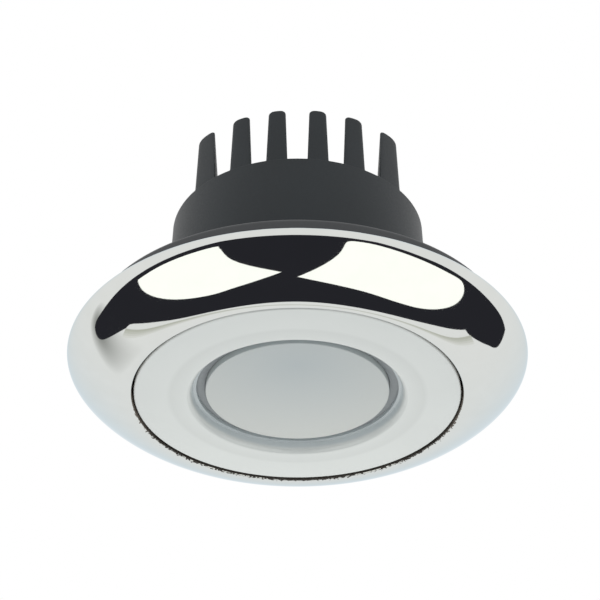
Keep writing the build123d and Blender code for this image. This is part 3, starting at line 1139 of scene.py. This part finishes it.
rag = add(chrome, "ShaderNodeTexNoise", {"Scale": 1 / (rag_size * mm), "Detail": 3}, {"Vector": place})
rag_width = add(
    chrome,
    "ShaderNodeMapRange",
    {"From Min": 0.45, "From Max": 0.75, "To Max": rag_reach},
    {"Value": (rag, "Fac")},
)
# Painted shade: a ragged band of the lip on the far side is shown as dark bare casting.
ragged_lip_shade = add(
    chrome,
    "ShaderNodeMath",
    {"operation": "MULTIPLY"},
    {0: (rag_width, "Result"), 1: (far_side_shade, "Result")},
)
bare_and_shaded_reach = add(
    chrome, "ShaderNodeMath", {"operation": "ADD"}, {0: (ragged_lip_shade, "Value"), 1: (in_sleeve, "Result")}
)
off_axis = add(chrome, "ShaderNodeMapping", {"Scale": (1 / mm, 1 / mm, 0)}, {"Vector": place})
plate_radius = add(
    chrome, "ShaderNodeVectorMath", {"operation": "LENGTH"}, {"Vector": (off_axis, "Vector")}
)
past_bare_and_shade = add(
    chrome,
    "ShaderNodeMath",
    {"operation": "SUBTRACT"},
    {0: (plate_radius, "Value"), 1: (bare_and_shaded_reach, "Value")},
)
plated = add(
    chrome,
    "ShaderNodeMapRange",
    {"From Min": plate_start, "From Max": plate_full},
    {"Value": (past_bare_and_shade, "Value")},
)
plate_colour = add(
    chrome,
    "ShaderNodeMix",
    {"data_type": "RGBA", first_colour: linear("#d5d7d3"), second_colour: linear("#dbddda")},
    {mix_share: (haze, "Fac")},
)
# Bare casting grey-brown, with painted shade making it much darker on the far side.
bare_and_shaded_colour = add(
    chrome,
    "ShaderNodeMix",
    {"data_type": "RGBA", first_colour: linear("#9a9085"), second_colour: linear("#3a332c")},
    {mix_share: (far_side_shade, "Result")},
)
bezel_colour = add(
    chrome,
    "ShaderNodeMix",
    {"data_type": "RGBA"},
    {
        mix_share: (plated, "Result"),
        first_colour: (bare_and_shaded_colour, mixture),
        second_colour: (plate_colour, mixture),
    },
)
bezel_roughness = add(
    chrome, "ShaderNodeMapRange", {"To Min": 0.7, "To Max": 0.03}, {"Value": (plated, "Result")}
)
bezel_waves = add(
    chrome, "ShaderNodeBump", {"Strength": 0.03, "Distance": 0.05 * mm}, {"Height": (buffing, "Fac")}
)
bezel_face = add(
    chrome,
    "ShaderNodeBsdfPrincipled",
    {"Specular Tint": linear("#e6f0f7")},
    {
        "Base Color": (bezel_colour, mixture),
        "Metallic": (plated, "Result"),
        "Roughness": (bezel_roughness, "Result"),
        "Normal": (bezel_waves, "Normal"),
    },
)
add(chrome, "ShaderNodeOutputMaterial", None, {"Surface": (bezel_face, "BSDF")})
dress(bezel, "bezel", "bezel", chrome)

# Floor and studio: a pale painted floor, a white surround and one small soft lamp beyond the light.
# What the bezel mirrors hangs just above the floor: a dark card with two soft boxes on it, beyond it
# the thin shaded edge of a white board, and a sheet of painted shade round one end of the card.

floor_level = -400.0
floor_half = 3000.0
card_level = -360.0
box_level = -356.0


def panel(name, corners, level):
    """A level sheet from its corners."""
    shape = bmesh.new()
    shape.faces.new([shape.verts.new((x, y, level)) for x, y in corners])
    sheet = finished(name, shape)
    return sheet


def flowing(corners, steps=5):
    """A smooth closed outline through points, where a point given twice is a sharp corner."""
    outline = []
    for i in range(len(corners)):
        before, start, end, after = (Vector(corners[(i + j) % len(corners)]) for j in (-1, 0, 1, 2))
        if start == end:
            continue
        for step in range(steps):
            t = step / steps
            bend = before * 2 - start * 5 + end * 4 - after
            twist = start * 3 - before - end * 3 + after
            outline.append(start + ((end - before) * t + bend * t**2 + twist * t**3) / 2)
    return outline


def show_in_mirrors(sheet, material):
    """Gives a sheet its material, and hides it from the camera, from matt surfaces and from shadows."""
    sheet.data.materials.append(material)
    sheet.visible_camera = False
    sheet.visible_diffuse = False
    sheet.visible_shadow = False


# Matt floor paint, faintly mottled, which bounces light softly on the light's face. The camera and
# mirrors see it as plain white.
mottle_size = 40.0
floor_corners = [
    (-floor_half, -floor_half),
    (floor_half, -floor_half),
    (floor_half, floor_half),
    (-floor_half, floor_half),
]
floor = panel("floor", floor_corners, floor_level)
pale, place = new_material("pale_floor_paint")
mottle = add(pale, "ShaderNodeTexNoise", {"Scale": 1 / (mottle_size * mm), "Detail": 2}, {"Vector": place})
pale_colour = add(
    pale,
    "ShaderNodeMix",
    {"data_type": "RGBA", first_colour: linear("#ebebea"), second_colour: linear("#efefee")},
    {mix_share: (mottle, "Fac")},
)
paint = add(pale, "ShaderNodeBsdfPrincipled", {"Roughness": 0.8}, {"Base Color": (pale_colour, mixture)})
white = add(pale, "ShaderNodeEmission", {"Color": linear("#ffffff"), "Strength": 1})
rays = add(pale, "ShaderNodeLightPath")
mirrored = add(
    pale,
    "ShaderNodeMath",
    {"operation": "MAXIMUM"},
    {0: (rays, "Is Glossy Ray"), 1: (rays, "Is Transmission Ray")},
)
seen = add(
    pale, "ShaderNodeMath", {"operation": "MAXIMUM"}, {0: (mirrored, "Value"), 1: (rays, "Is Camera Ray")}
)
floor_face = add(
    pale, "ShaderNodeMixShader", None, {0: (seen, "Value"), 1: (paint, "BSDF"), 2: (white, "Emission")}
)
add(pale, "ShaderNodeOutputMaterial", None, {"Surface": (floor_face, "Shader")})
floor.data.materials.append(pale)

# The card, the soft boxes and the edge of the board, each an outline in millimetres. The boxes glow
# just enough to look white in the chrome. The board's shade fades to white in bands, which are wider
# towards its ends.
soft_box_strength = 1.45
band_least = 8
band_spread = 60
dark_card_line = [(-380, 230), (-380, 230), (-600, 430), (-760, 470), (-840, 410), (-780, 200)]
dark_card_line += [(-730, -330), (-590, -850), (-590, -850), (0, -820), (570, -790), (570, -790)]
dark_card_line += [(660, -440), (800, -250), (920, 130), (1040, 440), (1000, 600), (1000, 600)]
dark_card_line += [(680, 550), (500, 405), (370, 280), (350, 230), (350, 230), (200, 210)]
dark_card_line += [(70, 240), (0, 210), (-80, 220), (-220, 180), (-350, 195)]
left_box_line = [(-30, -90), (-30, -90), (-160, -180), (-280, -345), (-355, -410), (-520, -240)]
left_box_line += [(-590, -60), (-590, -60), (-410, 15), (-250, 45), (-150, 40), (-100, -5)]
right_box_line = [(0, -60), (0, -60), (100, -210), (185, -415), (240, -500), (305, -515)]
right_box_line += [(370, -480), (470, -325), (590, -155), (660, -65), (560, 15), (400, 80)]
right_box_line += [(230, 100), (160, 80), (100, 20)]
board_line = [(-380, 230), (-200, 214), (-120, 228), (-45, 265), (20, 310), (70, 312), (120, 294)]
board_line += [(220, 276), (300, 268), (370, 270)]


def band_edge(bands):
    """The board's edge, moved back by a number of bands."""
    return [(x, y + (band_least + abs(x) / band_spread) * bands) for x, y in board_line]


dark_card = panel("dark_card", flowing(dark_card_line), card_level)
left_box = panel("left_soft_box", flowing(left_box_line), box_level)
right_box = panel("right_soft_box", flowing(right_box_line), box_level)
cards = [
    (dark_card, "black_velvet", "#2b2b31", 1),
    (left_box, "left_soft_box_cloth", "#fffffa", soft_box_strength),
    (right_box, "right_soft_box_cloth", "#fffffa", soft_box_strength),
]
band_shades = [
    ("deep_board_shade", "#d0d1c7"),
    ("middle_board_shade", "#dbdcd4"),
    ("pale_board_shade", "#e8e8e3"),
    ("faint_board_shade", "#f4f4f1"),
]
for bands, (shade_name, shade_code) in enumerate(band_shades):
    near = band_edge(bands)
    far = band_edge(bands + 1)[::-1]
    band = flowing(near[:1] + near + near[-1:] + far[:1] + far + far[-1:])
    cards.append((panel("board_shade", band, card_level), shade_name, shade_code, 1))
for sheet, name, code, strength in cards:
    cloth = new_material(name)[0]
    glow = add(cloth, "ShaderNodeEmission", {"Color": linear(code), "Strength": strength})
    add(cloth, "ShaderNodeOutputMaterial", None, {"Surface": (glow, "Emission")})
    show_in_mirrors(sheet, cloth)

# A sheet of painted shade, seen only in mirrors, lies round one end of the card and fades evenly to white.
shade_middle = Vector((-720, 410))
shade_half_width = 560
shade_half_depth = 190
shade_level = -364.0
shade_steps = 48
shade_line = []
for x, y in around(1, shade_steps, 0):
    shade_line.append(shade_middle + Vector((x * shade_half_width, y * shade_half_depth)))
# Painted shade: a grey sheet that is darkest round the card's end.
card_end_shade = panel("card_end_shade", shade_line, shade_level)
dim, place = new_material("card_end_shade_glow")
from_middle = add(
    dim,
    "ShaderNodeMapping",
    {
        "Location": (-shade_middle.x / shade_half_width, -shade_middle.y / shade_half_depth, 0),
        "Scale": (1 / (shade_half_width * mm), 1 / (shade_half_depth * mm), 0),
    },
    {"Vector": place},
)
fade = add(dim, "ShaderNodeVectorMath", {"operation": "LENGTH"}, {"Vector": (from_middle, "Vector")})
dim_colour = add(
    dim,
    "ShaderNodeMix",
    {"data_type": "RGBA", first_colour: linear("#787a75"), second_colour: linear("#ffffff")},
    {mix_share: (fade, "Value")},
)
dim_glow = add(dim, "ShaderNodeEmission", {"Strength": 1}, {"Color": (dim_colour, mixture)})
add(dim, "ShaderNodeOutputMaterial", None, {"Surface": (dim_glow, "Emission")})
show_in_mirrors(card_end_shade, dim)

# The white surround lights everything evenly.
world = bpy.data.worlds.new("white_surround")
bpy.context.scene.world = world
world.use_nodes = True
surround = world.node_tree.nodes["Background"]
surround.inputs["Color"].default_value = linear("#ffffff")
surround.inputs["Strength"].default_value = 1

# The lamp stands low beyond the light, and lifts the far side of its face a little.
lamp_place = Vector((0, 95, -75))
lamp_target = Vector((0, 10, -10))
lamp_size = 60.0
lamp_watts = 0.024
lamp_data = bpy.data.lights.new("soft_lamp", "AREA")
lamp_data.size = lamp_size * mm
lamp_data.energy = lamp_watts
lamp_data.color = linear("#fffdf4")[:3]
lamp = bpy.data.objects.new("soft_lamp", lamp_data)
lamp.location = lamp_place * mm
lamp.rotation_euler = (lamp_target - lamp_place).to_track_quat("-Z", "Y").to_euler()
lamp.visible_camera = False
lamp.visible_glossy = False
bpy.context.scene.collection.objects.link(lamp)

# Camera: low in front of the light and looking up at its face, with the fins behind it.
# Its rise is the angle in degrees that it looks up by.

camera_place = Vector((0.39, -220.3, -142.1))
camera_rise = 34.3
camera_data = bpy.data.cameras.new("camera")
camera_data.lens = 102
camera = bpy.data.objects.new("camera", camera_data)
camera.location = camera_place * mm
camera.rotation_euler = (math.radians(90 + camera_rise), 0, 0)
bpy.context.scene.collection.objects.link(camera)
bpy.context.scene.camera = camera
bpy.context.scene.view_settings.view_transform = "Standard"
